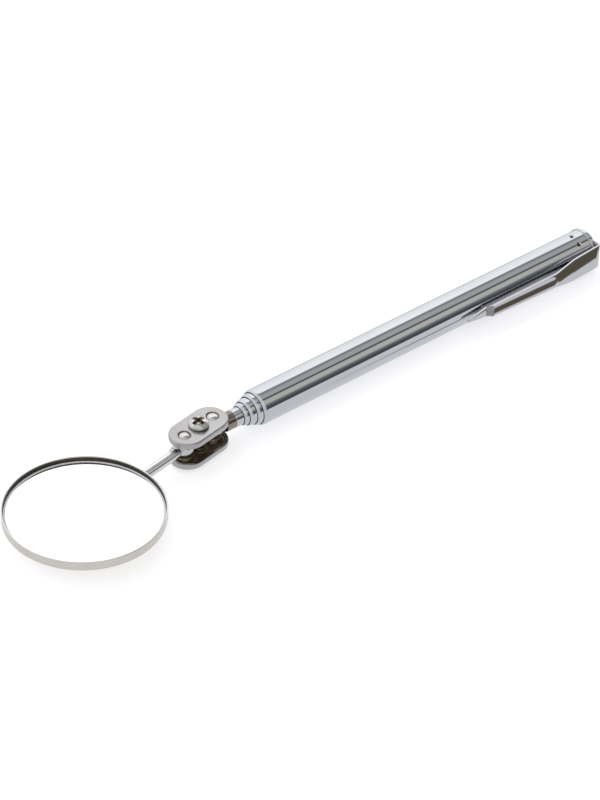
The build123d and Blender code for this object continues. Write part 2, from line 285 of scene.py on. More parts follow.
def metal(name, dark, light, rough, grain, relief, stretch=(1, 1, 1)):
    """A metal: tone and gloss wander over centimetres, with a fine grain on top."""
    material, shader = new_material(name)
    shader.inputs["Metallic"].default_value = 1.0
    tinted(material, shader, noise(material, TONE_SCALE), dark, light)
    gloss = noise(material, GLOSS_SCALE, stretch, GLOSS_DETAIL)
    spread(material, gloss, *rough, shader.inputs["Roughness"])
    bumped(material, shader, noise(material, grain, stretch, GRAIN_DETAIL), relief)
    return material


ALONG = (0.04, 1, 1)
chrome = metal("chrome", (0.555, 0.562, 0.575), (0.585, 0.59, 0.6), (0.02, 0.045), 2500, 1.5e-8, ALONG)
plug_chrome = metal("plug_chrome", (0.56, 0.565, 0.575), (0.6, 0.6, 0.605), (0.04, 0.1), 2500, 3e-8)
spring_steel = metal(
    "spring_steel", (0.55, 0.55, 0.56), (0.6, 0.6, 0.61), (0.03, 0.06), 2500, 2e-8, ALONG
)
# Darker, rougher steel for the outer face of the clip's step: the rougher gloss is the bend's, the
# darker tone is a painted dark reflection.
bend_steel_painted_reflection = metal("bend_steel_painted_reflection", (0.34, 0.33, 0.31), (0.42, 0.41, 0.39), (0.3, 0.42), 2500, 1e-7)
ball_steel = metal("ball_steel", (0.56, 0.55, 0.53), (0.62, 0.61, 0.59), (0.05, 0.12), 3000, 4e-8)
nickel = metal("nickel", (0.385, 0.37, 0.365), (0.475, 0.465, 0.445), (0.18, 0.28), 4000, 2.5e-7)
screw_steel = metal("screw_steel", (0.52, 0.515, 0.5), (0.62, 0.61, 0.59), (0.06, 0.12), 4000, 5e-8)
rod_steel = metal("rod_steel", (0.66, 0.65, 0.64), (0.76, 0.75, 0.73), (0.16, 0.24), 3000, 8e-8, ALONG)
case_steel = metal("case_steel", (0.61, 0.58, 0.52), (0.69, 0.655, 0.59), (0.16, 0.26), 4000, 1.5e-7)
# Painted shade: near-black steel laid in the barrel's stake marks and on the case's inner wall and
# floor, where shade falls.
painted_shade_steel = metal("painted_shade_steel", (0.05, 0.045, 0.04), (0.1, 0.085, 0.065), (0.3, 0.45), 3000, 2e-7)
# Painted shade: dark olive steel laid on the stud's collar and round the foot of the screw head.
painted_shade_olive = metal("painted_shade_olive", (0.13, 0.115, 0.09), (0.32, 0.28, 0.24), (0.12, 0.2), 3000, 2e-7)
# Painted shade: dark brown nickel laid inside the clamp plates, in the rings round the domes, in the
# screw's cross recess and on its shank.
painted_shade_nickel = metal(
    "painted_shade_nickel", (0.17, 0.135, 0.09), (0.25, 0.2, 0.14), (0.38, 0.5), 3000, 3e-7
)
dome_steel = metal("dome_steel", (0.56, 0.55, 0.54), (0.64, 0.63, 0.61), (0.05, 0.1), 3000, 5e-8)
brass = metal("brass", (0.68, 0.48, 0.22), (0.8, 0.6, 0.3), (0.18, 0.34), 3000, 3e-7)
bronze = metal("bronze", (0.6, 0.34, 0.17), (0.74, 0.45, 0.24), (0.16, 0.3), 3000, 3e-7)

silvering, shader = new_material("silvered_glass")
shader.inputs["Base Color"].default_value = (0.93, 0.94, 0.945, 1)
shader.inputs["Metallic"].default_value = 1.0
spread(silvering, noise(silvering, 500), 0.004, 0.018, shader.inputs["Roughness"])

# Painted reflection: a light, matte ring at the glass's edge standing for the case wall seen in the
# mirror.
painted_reflection_glass, shader = new_material("painted_reflection_glass")
tinted(painted_reflection_glass, shader, noise(painted_reflection_glass, 300), (0.9, 0.905, 0.92), (0.98, 0.98, 0.99))
shader.inputs["Roughness"].default_value = 0.35
bumped(painted_reflection_glass, shader, noise(painted_reflection_glass, 2500), 1e-6)

card, shader = new_material("backing_card")
tinted(card, shader, noise(card, 1500, (1, 1, 1), 8.0), (0.05, 0.045, 0.04), (0.11, 0.1, 0.09))
shader.inputs["Roughness"].default_value = 0.85
bumped(card, shader, noise(card, 4000), 2e-5)

# Telescope
WALL = 0.4
BORE_ROUND = 0.1
LIP_LENGTH = 0.8
LIP_EDGE = 0.05
LIP_GAP = 0.17
LIP_ROLL = (1.25, 0.5)
LIP_POWER = 1.45
LIP_STEPS = 14
ROLL_START = 0.1
PLUG_NOSE = 0.6
REAR_ROUND = 0.15
TUBES = ["barrel_tube", "section_1_tube", "section_2_tube", "section_3_tube", "section_4_tube"]
REACH = [span(node) for node in TUBES]
RADII = [span(node, 2)[1] for node in TUBES]
STAKE_RADIUS = 0.95
STAKE_DEPTH = 0.36
STAKE_INSET = 4.3
STAKE_ANGLES = (88.0, 127.0, 268.0, 307.0)
STAKE_SHADE_DEPTH = 0.2
STAKE_RINGS = 31
STAKE_RING_STEP = 0.08
ON_SURFACE = 1e-3


def tube_outline(number):
    """A tube's outline: its mouth is rolled in towards the next tube."""
    front, rear = REACH[number]
    outer = RADII[number]
    bore = outer - WALL
    if number + 1 == len(TUBES):
        points = [(front, bore), (rear, bore), (rear, outer), (front, outer)]
        return rounded(points, {0: BORE_ROUND, 2: REAR_ROUND, 3: REAR_ROUND})
    lip = RADII[number + 1] + LIP_GAP
    slope = bore - lip
    length, drop = LIP_ROLL
    points = [
        (front + LIP_EDGE, lip),
        (front + LIP_LENGTH, lip),
        (front + LIP_LENGTH + slope, bore),
        (rear, bore),
        (rear, outer),
        (front + length + ROLL_START, outer),
    ]
    outline = rounded(points, {4: REAR_ROUND})
    for step in range(LIP_STEPS + 1):
        t = math.radians(90 * step / LIP_STEPS)
        along = front + length * (1 - math.sin(t) ** (2 / LIP_POWER))
        rise = max(math.cos(t), 0.0) ** (2 / LIP_POWER)
        outline.append((along, outer - drop * (1 - rise)))
    return outline


def staked(bm, rear, outer):
    """Punches the stake marks into a tube's wall."""
    centre = rear - STAKE_INSET
    for vert in bm.verts:
        x, y, z = vert.co
        if abs(math.hypot(y, z) - outer) > ON_SURFACE or abs(x - centre) > STAKE_RADIUS:
            continue
        around = math.degrees(math.atan2(z, y)) % 360
        for angle in STAKE_ANGLES:
            aside = math.radians(around - angle) * outer
            away = math.hypot(x - centre, aside) / STAKE_RADIUS
            if away < 1:
                factor = 1 - STAKE_DEPTH * (1 - away**2) / outer
                vert.co.y *= factor
                vert.co.z *= factor


def tube_mesh(number):
    """A tube, with close rings round its stake marks if it is the barrel."""
    outline = tube_outline(number)
    if number:
        return turned(outline)
    outer = RADII[0]
    centre = REACH[0][1] - STAKE_INSET
    spot = max(k for k, p in enumerate(outline) if p[0] > centre and p[1] > outer - ON_SURFACE)
    half = (STAKE_RINGS - 1) / 2
    rings = [(centre + STAKE_RING_STEP * (half - k), outer) for k in range(STAKE_RINGS)]
    outline[spot + 1:spot + 1] = rings
    bm = turned(outline, segments=FINE_SEGMENTS)
    staked(bm, REACH[0][1], outer)
    return bm


def in_stake(point):
    """Whether a point lies deep in a stake mark of the barrel, where painted shade goes."""
    away = math.hypot(point.y, point.z)
    along = abs(point.x - REACH[0][1] + STAKE_INSET)
    return along < STAKE_RADIUS and RADII[0] - WALL < away < RADII[0] - STAKE_SHADE_DEPTH


TUBE_BODIES = ["barrel", "section_1", "section_2", "section_3", "section_4"]
for number, node in enumerate(TUBES):
    name = node.replace("_tube", "_shell")
    piece(
        name, tube_mesh(number), BARREL, TUBE_BODIES[number], chrome, "chrome_tube", node,
        others=[(painted_shade_steel, in_stake)] if number == 0 else (),
    )

# Rear end
plug_front, plug_back = span("end_plug")
FLANGE_RADIUS = span("end_plug", 2)[1]
FLANGE_ROUND = 0.5
RIVET_RADIUS = 1.25
RIVET_EDGE = (0.12, 0.1)
RIVET_INSET = 0.02
RIVET_SIDE = 0.2
RIVET_POWER = 0.8
RIVET_STEPS = 12
barrel_end = REACH[0][1]
plug_radius = RADII[0] - WALL
outline = [
    (plug_front, RIVET_RADIUS),
    (plug_back, RIVET_RADIUS),
    (plug_back, FLANGE_RADIUS),
    (barrel_end, FLANGE_RADIUS),
    (barrel_end, plug_radius),
    (plug_front, plug_radius),
]
outline = rounded(outline, {2: FLANGE_ROUND, 3: FLANGE_ROUND / 2, 5: PLUG_NOSE})
piece("plug", turned(outline), BARREL, "barrel", plug_chrome, "chrome_plug", "end_plug")

rivet_front, rivet_back = span("clip_rivet")
rivet_radius = span("clip_rivet", 2)[1]
CLIP_SHEET = 0.7
clip_back = plug_back + CLIP_SHEET
rivet_rise = rivet_back - clip_back
outline = [(rivet_front, 0.0), (rivet_front, RIVET_RADIUS), (clip_back, RIVET_RADIUS)]
outline += [(clip_back, rivet_radius - RIVET_EDGE[1]), (clip_back + RIVET_EDGE[0], rivet_radius)]
for step in range(RIVET_STEPS):
    t = math.radians(90 * step / RIVET_STEPS)
    rise = RIVET_SIDE + (rivet_rise - RIVET_SIDE) * math.sin(t)
    outline.append((clip_back + rise, (rivet_radius - RIVET_INSET) * math.cos(t) ** RIVET_POWER))
outline.append((rivet_back, 0.0))
piece("rivet", turned(outline, closed=False), BARREL, "barrel", ball_steel, "chrome_plug", "clip_rivet")

# Pocket clip: tab, fold and arm as one strip, with the disc behind the plug
ARM_STATIONS = (0.0, 13.0, 21.5, 49.5, 50.9, 59.3)
ARM_OUT = (7.75, 8.6, 9.3, 8.9, 7.75, 8.15)
ARM_HALF_WIDTHS = (4.4, 4.25, 2.7, 2.05, 1.85, 0.45)
CLIP_DISC_RADIUS = 5.8
FOLD_RADIUS = 0.55
EDGE = 0.12
DISC_GAP = 0.02
TAB_START = 2.0
TAB_STEPS = 5
FOLD_STEPS = 12
ARM_STEP = 0.5
NOSE_STEP = ARM_STEP / 4
NOSE_FROM = ARM_STATIONS[3] - 2
SLOPE_STEP = 0.1
EASE = 0.7
EASE_SAMPLES = 10
EASE_WEIGHT = 1.05
STRIP_STEPS = 10
CORNER_STEPS = 4
STEP_BEFORE, STEP_AFTER = 0.55, 0.45


def between(stations, values, at):
    """A value along a polyline of stations, eased a little at its corners."""
    def straight(place):
        place = min(max(place, stations[0]), stations[-1])
        for low, high, a, b in zip(stations, stations[1:], values, values[1:]):
            if place <= high:
                return a + (b - a) * (place - low) / (high - low)
        return values[-1]
    inside = min(at - stations[0], stations[-1] - at, EASE)
    offsets = [k / EASE_SAMPLES for k in range(-EASE_SAMPLES, EASE_SAMPLES + 1)]
    weights = [EASE_WEIGHT - abs(o) for o in offsets]
    return sum(w * straight(at + inside * o) for w, o in zip(weights, offsets)) / sum(weights)


def strip_ring(bm, place, normal, half, sheet=CLIP_SHEET):
    """A cross-section of the strip: a rounded rectangle, half wide each way in Z."""
    ring = []
    t = sheet / 2
    half = max(half, EDGE * 1.5)
    flat = 2 * half - 2 * EDGE
    across = [-half + EDGE + flat * k / STRIP_STEPS for k in range(STRIP_STEPS + 1)]
    quarter = [math.radians(90 * k / CORNER_STEPS) for k in range(1, CORNER_STEPS)]
    side = [(z, t) for z in across]
    side += [(half - EDGE + EDGE * math.sin(q), t - EDGE + EDGE * math.cos(q)) for q in quarter]
    side += [(half, t - EDGE), (half, -t + EDGE)]
    side += [(half - EDGE + EDGE * math.cos(q), -t + EDGE - EDGE * math.sin(q)) for q in quarter]
    side += [(z, -t) for z in reversed(across)]
    side += [(-half + EDGE - EDGE * math.sin(q), -t + EDGE - EDGE * math.cos(q)) for q in quarter]
    side += [(-half, -t + EDGE), (-half, t - EDGE)]
    side += [(-half + EDGE - EDGE * math.cos(q), t - EDGE + EDGE * math.sin(q)) for q in quarter]
    for z, out in side:
        ring.append(bm.verts.new((place.x + normal.x * out, place.y + normal.y * out, z)))
    return ring


def clip_mesh():
    """The clip in the barrel's frame."""
    bm = bmesh.new()
    line = []
    back = clip_back - CLIP_SHEET / 2
    corner = ARM_OUT[0] - CLIP_SHEET / 2
    bend = FOLD_RADIUS + CLIP_SHEET / 2
    tab = corner - bend - TAB_START
    for k in range(TAB_STEPS + 1):
        place = Vector((back, -TAB_START - tab * k / TAB_STEPS))
        line.append((place, Vector((1, 0)), ARM_HALF_WIDTHS[0]))
    middle_of_bend = Vector((back - bend, -corner + bend))
    for k in range(1, FOLD_STEPS + 1):
        t = math.radians(90 * k / FOLD_STEPS)
        out = Vector((math.cos(t), -math.sin(t)))
        line.append((middle_of_bend + out * bend, out, ARM_HALF_WIDTHS[0]))
    station = CLIP_SHEET + bend
    while station < ARM_STATIONS[-1]:
        here = between(ARM_STATIONS, ARM_OUT, station) - CLIP_SHEET / 2
        ahead = between(ARM_STATIONS, ARM_OUT, station + SLOPE_STEP) - CLIP_SHEET / 2
        slope = (ahead - here) / SLOPE_STEP
        normal = Vector((-slope, -1)).normalized()
        half = between(ARM_STATIONS, ARM_HALF_WIDTHS, station)
        line.append((Vector((clip_back - station, -here)), normal, half))
        station += ARM_STEP if station < NOSE_FROM else NOSE_STEP
    rings = [strip_ring(bm, *where) for where in line]
    skin(bm, rings)
    for ring in (rings[0], rings[-1]):
        bm.faces.new(ring)
    low, high = plug_back + DISC_GAP, clip_back - DISC_GAP
    edge = [(low, RIVET_RADIUS), (high, RIVET_RADIUS)]
    edge += [(high, CLIP_DISC_RADIUS), (low, CLIP_DISC_RADIUS)]
    disc = turned(rounded(edge, {2: EDGE, 3: EDGE}))
    loose = bpy.data.meshes.new("clip_disc")
    disc.to_mesh(loose)
    disc.free()
    bm.from_mesh(loose)
    bpy.data.meshes.remove(loose)
    return bm


def on_step(point):
    """Whether a point lies on the outer face of the clip's step, where a painted dark reflection goes.
    """
    station = clip_back - point.x
    start, stop = ARM_STATIONS[3] - STEP_BEFORE, ARM_STATIONS[4] + STEP_AFTER
    return start < station < stop and abs(point.z) < ARM_HALF_WIDTHS[3]


clip = piece(
    "clip", clip_mesh(), BARREL, None, spring_steel, "spring_steel", "clip_bridge", "clip_arm",
    others=[(bend_steel_painted_reflection, on_step)],
)
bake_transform(clip)

# Ball stud
front = REACH[-1][0]
ball_at = (STUD_BALL.x - MOUTH.x) / MM
BALL_RADIUS = 3.175
NECK_RADIUS = 1.7
COLLAR_RADIUS = 2.95
COLLAR_LENGTH = 3.6
COLLAR_ROUND = 0.6
STUD_ROUND = 0.12
FIT_GAP = 0.02
BALL_STEPS = 36
stud_rear = span("ball_stud")[1]
stud_plug = RADII[-1] - WALL - FIT_GAP
neck_angle = math.degrees(math.asin(NECK_RADIUS / BALL_RADIUS))
outline = arc(ball_at, BALL_RADIUS, 180, neck_angle, BALL_STEPS)
shank = [
    (front - COLLAR_LENGTH, NECK_RADIUS),
    (front - COLLAR_LENGTH, COLLAR_RADIUS),
    (front, COLLAR_RADIUS),
    (front, stud_plug),
    (stud_rear, stud_plug),
    (stud_rear, 0.0),
]
outline[-1] = (outline[-1][0], NECK_RADIUS)
joined = [outline[-1]] + shank
outline = outline[:-1] + rounded(joined, {2: COLLAR_ROUND, 3: STUD_ROUND, 5: COLLAR_ROUND})


def in_collar(point):
    """Whether a point lies on the stud's collar, which takes painted shade."""
    away = math.hypot(point.y, point.z)
    return front - COLLAR_LENGTH - TEST_GAP < point.x < front and away > NECK_RADIUS


piece(
    "stud", turned(outline, closed=False), BARREL, "section_4", ball_steel, "polished_steel",
    "ball_stud", others=[(painted_shade_olive, in_collar)],
)

# Clamp plates
SPACING = HEAD_LINE.length / MM
PLATE_LENGTH = 21.8
PLATE_WIDTH = 11.9
PLATE_SHEET = 1.0
PLATE_OUT = 5.05
PLATE_FLANGE = 2.0
PLATE_ROUND = 0.55
GROOVE = [(2.3, 5.05), (2.22, 5.035), (2.13, 4.97), (2.04, 4.86), (1.96, 4.76), (1.9, 4.71)]
GROOVE += [(1.84, 4.69), (1.8, 4.7)]
DOME_EDGE = 1.77
DOME_FOOT = 4.72
DOME_TOP = 5.25
DOME_POWER = 2.5
GROOVE_SHADE = (1.74, 2.1)
DOME_ARC = 86
DOME_STEPS = 14
EDGE_ROUND = 0.6
EDGE_STEPS = 10
EDGE_BLEND = 0.05
RIM = 0.12
RIM_SIDE, RIM_IN = 0.2, (0.04, 0.07)
BLEND = 0.03
SEAT_TIP = 2.35
SEAT_CUP = BALL_RADIUS + 0.04
SEAT_RIDGE = (2.5, 2.57, 2.88, 2.92)
SEAT_EDGE = 0.1
SEAT_STEPS = 14
SEAT_ARC = 88
HOLE = 1.58
HOLE_EDGE = 0.1
HOLE_SEGMENTS = 72
BOSS_RADIUS = 2.3
BOSS_TIP = 2.55
BOSS_EDGE = 0.1
BOSS_BEVEL = 0.08
INNER_GAP = 0.05
INNER_DEPTH = 0.7
DOME_REACH = 0.3


def stadium(bm, inset, height, count=36, straight=10):
    """A ring of vertices round the plate, in from its edge."""
    radius = PLATE_WIDTH / 2 - inset
    reach = (PLATE_LENGTH - PLATE_WIDTH) / 2
    ring = []
    for side, start in ((1, -90), (-1, 90)):
        centre = SPACING / 2 + side * reach
        for k in range(count + 1):
            t = math.radians(start + 180 * k / count)
            ring.append((centre + radius * math.cos(t), radius * math.sin(t)))
        last = ring[-1]
        for k in range(1, straight):
            ring.append((last[0] - side * 2 * reach * k / straight, last[1]))
    return [bm.verts.new((x, y, height)) for x, y in ring]


def plate_mesh(boss):
    """A clamp plate, outer face up, in the clamp's frame."""
    bm = bmesh.new()
    low = PLATE_OUT - PLATE_FLANGE
    under = PLATE_OUT - PLATE_SHEET
    quarter = [math.radians(90 * k / EDGE_STEPS) for k in range(EDGE_STEPS + 1)]
    section = [(EDGE_ROUND + FIT_GAP, PLATE_OUT)]
    for q in quarter:
        bend = (EDGE_ROUND * (1 - math.sin(q)), PLATE_OUT - EDGE_ROUND * (1 - math.cos(q)))
        section.append(bend)
    aside, up = RIM_IN
    section += [(0.0, PLATE_OUT - EDGE_ROUND - EDGE_BLEND), (0.0, low + RIM_SIDE), (aside, low + up)]
    section += [(RIM, low), (PLATE_SHEET - RIM, low), (PLATE_SHEET - aside, low + up)]
    section += [(PLATE_SHEET, low + RIM_SIDE), (PLATE_SHEET, under - PLATE_ROUND - BLEND)]
    for q in reversed(quarter):
        inset = PLATE_SHEET + PLATE_ROUND * (1 - math.sin(q))
        section.append((inset, under - PLATE_ROUND * (1 - math.cos(q))))
    rings = [stadium(bm, inset, height) for inset, height in section]
    skin(bm, rings)
    outer_holes, inner_holes = [], []
    dome = []
    for k in range(DOME_STEPS):
        part = math.cos(math.radians(DOME_ARC * k / DOME_STEPS))
        rise = (DOME_TOP - DOME_FOOT) * (1 - part**DOME_POWER) ** (2 / DOME_POWER)
        dome.append((DOME_EDGE * part, DOME_FOOT + rise))
    for centre in (0.0, SPACING):
        domes = [circle(bm, centre, r, z) for r, z in GROOVE + dome]
        skin(bm, domes + [[bm.verts.new((centre, 0, DOME_TOP))]])
        outer_holes.append(domes[0])
        heights = (SEAT_TIP, SEAT_TIP + SEAT_EDGE, under - SEAT_EDGE, under)
        ridge = list(zip(SEAT_RIDGE, heights))[::-1]
        edge = math.degrees(math.asin(SEAT_TIP / SEAT_CUP))
        for k in range(SEAT_STEPS + 1):
            t = math.radians(edge + (SEAT_ARC - edge) * k / SEAT_STEPS)
            ridge.append((SEAT_CUP * math.cos(t), SEAT_CUP * math.sin(t)))
        cups = [circle(bm, centre, r, z) for r, z in ridge]
        skin(bm, cups + [[bm.verts.new((centre, 0, SEAT_CUP))]])
        inner_holes.append(cups[0])
    bore = [(HOLE + RIM, PLATE_OUT), (HOLE + BLEND, PLATE_OUT - aside), (HOLE, PLATE_OUT - RIM)]
    if boss:
        step = BOSS_EDGE
        bore += [(HOLE, BOSS_TIP + step), (HOLE + BOSS_BEVEL, BOSS_TIP)]
        bore += [(BOSS_RADIUS - BOSS_BEVEL, BOSS_TIP), (BOSS_RADIUS, BOSS_TIP + step)]
        bore += [(BOSS_RADIUS, under - RIM), (BOSS_RADIUS + RIM, under)]
    else:
        bore += [(HOLE, under + RIM), (HOLE + HOLE_EDGE, under)]
    walls = [circle(bm, SPACING / 2, r, z, HOLE_SEGMENTS) for r, z in bore]
    skin(bm, walls)
    fill(bm, rings[0], walls[0], *outer_holes)
    fill(bm, rings[-1], walls[-1], *inner_holes)
    return bm


turned_over = HEAD @ Matrix.Rotation(math.pi, 4, "X")
PLATES = (("top", False, HEAD), ("bottom", True, turned_over))


def inside_plate(point):
    """Whether a point, in a plate's own frame, lies on its inner side, which takes painted shade."""
    radius = PLATE_WIDTH / 2
    past = max(abs(point.x - SPACING / 2) - (PLATE_LENGTH / 2 - radius), 0)
    inset = radius - math.hypot(past, point.y)
    return inset > PLATE_SHEET - INNER_GAP and point.z < PLATE_OUT - INNER_DEPTH


def from_dome(point):
    """How far a point lies from the middle of the nearer dome."""
    return min(math.hypot(point.x, point.y), math.hypot(point.x - SPACING, point.y))


def on_dome(point):
    """Whether a point lies on one of a plate's ringed domes."""
    return from_dome(point) < GROOVE[0][0] - TEST_GAP and point.z > DOME_FOOT - DOME_REACH


def in_groove(point):
    """Whether a point lies at the bottom of the ring round a dome, which takes painted shade."""
    low, high = GROOVE_SHADE
    return low < from_dome(point) < high and point.z > DOME_FOOT - DOME_REACH


for end, boss, place in PLATES:
    node = "clamp_plate_" + end
    piece(
        "plate_" + end, plate_mesh(boss), place, "clamp", nickel, "nickel_plate", node,
        others=[(painted_shade_nickel, inside_plate), (dome_steel, on_dome), (painted_shade_nickel, in_groove)],
    )

# Clamp screw
HEAD_RADIUS = 3.2
HEAD_HEIGHT = 2.1
HEAD_SIDE = 0.65
SCREW_RADIUS = 1.5
ROOT_RADIUS = 1.22
PITCH = 0.5
SCREW_TAIL = 0.5
# The cross recess: its length, the width of its arms and its depth, from the rim down
RECESS = [(4.6, 1.45, 0.0), (4.46, 1.31, 0.09), (4.0, 1.2, 0.45), (3.0, 1.06, 1.0), (2.4, 0.96, 1.3)]
RECESS_ROUND = 0.2
RECESS_SINK = 0.08
CROWN_POWER = 2.6
CROWN_ARC = 40
CROWN_STEPS = 14
FLAT_STEPS = 6
# A thread's turn: how far along it and how far out
THREAD = ((0.0, 0), (0.1, 0), (0.22, 1), (0.28, 1), (0.4, 0))
THREAD_SEGMENTS = 72
RUN_OUT = (0.3, 0.1)
SEAT_LIFT = 0.01
# The lower edge of the head: how far in from its side, and how far up from the plate
HEAD_EDGE = ((0.25, 0.01), (0.07, 0.08), (0.0, 0.25))
CORE_GAP = 0.01
CORE_LENGTH = 0.35
RECESS_EDGE = 0.03
FOOT_HEIGHT = 0.45
FOOT_WIDTH = 0.3


def crown(radius):
    """Height of the screw head's domed top at a radius."""
    part = min(radius / HEAD_RADIUS, 1.0)
    return PLATE_OUT + HEAD_SIDE + (HEAD_HEIGHT - HEAD_SIDE) * math.sqrt(1 - part**CROWN_POWER)


def cross_outline(length, width):
    """Points round a cross, its inner corners rounded."""
    bend = RECESS_ROUND
    quarter = [math.radians(90 * k / 3) for k in range(4)]
    half = width / 2
    centre = half + bend
    reach = length / 2 - bend
    arm = [(centre - bend * math.cos(q), -centre + bend * math.sin(q)) for q in quarter]
    arm += [(centre + (reach - centre) * k / 5, -half) for k in range(1, 5)]
    arm += [(reach + bend * math.sin(q), -half + bend - bend * math.cos(q)) for q in quarter]
    arm += [(length / 2, (half - bend) * k / 2) for k in range(-1, 2)]
    arm += [(reach + bend * math.cos(q), half - bend + bend * math.sin(q)) for q in quarter]
    arm += [(reach + (centre - reach) * k / 5, half) for k in range(1, 5)]
    points = []
    for turn in range(4):
        cos, sin = round(math.cos(turn * math.pi / 2)), round(math.sin(turn * math.pi / 2))
        points += [(x * cos - y * sin, x * sin + y * cos) for x, y in arm]
    return points


def add_head(bm):
    """The screw's head, with its cross recess."""
    rim = cross_outline(*RECESS[0][:2])
    count = len(rim)
    angles = [2 * math.pi * k / count - math.pi / 4 for k in range(count)]

    def ring(radius, height):
        return [bm.verts.new((radius * math.cos(a), radius * math.sin(a), height)) for a in angles]

    side = [(ROOT_RADIUS, SEAT_LIFT)]
    side += [(HEAD_RADIUS - aside, rise) for aside, rise in HEAD_EDGE]
    head = [ring(radius, PLATE_OUT + rise) for radius, rise in side]
    for k in range(CROWN_STEPS + 1):
        radius = HEAD_RADIUS * math.cos(math.radians(CROWN_ARC * k / CROWN_STEPS))
        head.append(ring(radius, crown(radius)))
    for k in range(1, FLAT_STEPS + 1):
        loop = []
        for (x, y), a in zip(rim, angles):
            px = radius * math.cos(a) * (1 - k / FLAT_STEPS) + x * k / FLAT_STEPS
            py = radius * math.sin(a) * (1 - k / FLAT_STEPS) + y * k / FLAT_STEPS
            loop.append(bm.verts.new((px, py, crown(math.hypot(px, py)))))
        head.append(loop)
    top = crown(0.0)
    for length, width, depth in RECESS[1:]:
        loop = []
        for x, y in cross_outline(length, width):
            low = min(crown(math.hypot(x, y)) - RECESS_SINK, top - depth)
            loop.append(bm.verts.new((x, y, low)))
        head.append(loop)
    skin(bm, head)
    fill(bm, head[-1])


def add_shank(bm):
    """The screw's threaded shank."""
    foot = -PLATE_OUT - SCREW_TAIL
    low, high = foot + RUN_OUT[0], PLATE_OUT - RUN_OUT[1]
    threads = []
    for turn in range(int((PLATE_OUT - foot) / PITCH) + 2):
        for rise, out in THREAD:
            ring = []
            for k in range(THREAD_SEGMENTS):
                part = k / THREAD_SEGMENTS
                z = foot - PITCH + (turn + part) * PITCH + rise
                radius = SCREW_RADIUS if out and low < z < high else ROOT_RADIUS
                z = min(max(z, foot), PLATE_OUT + FIT_GAP)
                t = 2 * math.pi * part
                ring.append(bm.verts.new((radius * math.cos(t), radius * math.sin(t), z)))
            threads.append(ring)
    last = THREAD_SEGMENTS - 1
    for k, (a, b) in enumerate(zip(threads, threads[1:])):
        for n in range(last):
            bm.faces.new([a[n], a[n + 1], b[n + 1], b[n]])
        later = k + len(THREAD)
        if later + 1 < len(threads):
            bm.faces.new([a[last], threads[later][0], threads[later + 1][0], b[last]])
    core = ROOT_RADIUS - CORE_GAP
    ends = [circle(bm, 0, core, foot + lift, THREAD_SEGMENTS) for lift in (CORE_LENGTH, 0)]
    skin(bm, ends)
    bm.faces.new(ends[1])


def screw_mesh():
    """The pan head screw, from the plane between the balls."""
    bm = bmesh.new()
    add_head(bm)
    add_shank(bm)
    return bm


def in_recess(point):
    """Whether a point lies on the walls or floor of the cross recess, or on the shank: these take
    painted shade.
    """
    away = math.hypot(point.x, point.y)
    sunk = away < RECESS[0][0] / 2 and point.z < crown(away) - RECESS_EDGE
    return point.z < PLATE_OUT or sunk


def at_foot(point):
    """Whether a point lies on the lowest part of the head's side, which takes painted shade."""
    away = math.hypot(point.x, point.y)
    return PLATE_OUT < point.z < PLATE_OUT + FOOT_HEIGHT and away > HEAD_RADIUS - FOOT_WIDTH


piece(
    "screw", screw_mesh(), SCREW, "clamp_screw", screw_steel, "screw_steel", "clamp_screw",
    others=[(painted_shade_nickel, in_recess), (painted_shade_olive, at_foot)],
)

# Mirror-side ball and rod
TENON_RADIUS = 1.15
BORE_RADIUS = 1.2
TENON_DEPTH = 2.2
TENON_EDGE = 0.15
TENON_GAP = 0.05
SWIVEL_STEPS = 40
bore_angle = math.degrees(math.asin(BORE_RADIUS / BALL_RADIUS))
outline = arc(0, BALL_RADIUS, 180, bore_angle, SWIVEL_STEPS)
bore_end = -TENON_DEPTH - TENON_GAP
outline += [(bore_end, BORE_RADIUS), (bore_end, 0.0)]
ball = turned(outline, closed=False)
piece("ball", ball, ROD, "swivel_ball", ball_steel, "polished_steel", "swivel_ball")

ROD_RADIUS = 1.7
ROD_START = 3.3
ROD_GAP = 0.35
ROD_SEGMENTS = 64
SHOULDER_STEPS = 7
SHOULDER_BLEND = 0.1
END_BLEND = 0.3
# The rod's end above the tongue: how far back it is cut, and how high it reaches
ROD_END = ((0.12, 1.68), (0.04, 1.6), (0.0, 1.45), (0.0, 0.02))
case_radius = (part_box("mirror_case")[1].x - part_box("mirror_case")[0].x) / 2 / MM
rod_to_centre = (CASE_BACK - MIRROR_BALL).to_2d().length / MM
shank_end = rod_to_centre - case_radius - ROD_GAP
TONGUE = 12.0
TONGUE_HALF = 2.4
TONGUE_SHEET = 1.3
TONGUE_BLEND = 1.6
TONGUE_STEPS = 6
TONGUE_POWER = 5
TIP_ARC = 88
TIP_STEPS = 12


def rod_ring(bm, at, half, top, bottom, power):
    """A cross-section of the rod: round at power 2, squarer above."""
    ring = []
    for k in range(ROD_SEGMENTS):
        t = 2 * math.pi * k / ROD_SEGMENTS
        cos, sin = math.cos(t), math.sin(t)
        across = math.copysign(abs(cos) ** (2 / power), cos) * half
        up = math.copysign(abs(sin) ** (2 / power), sin) * (top if sin > 0 else bottom)
        ring.append(bm.verts.new((at, across, up)))
    return ring


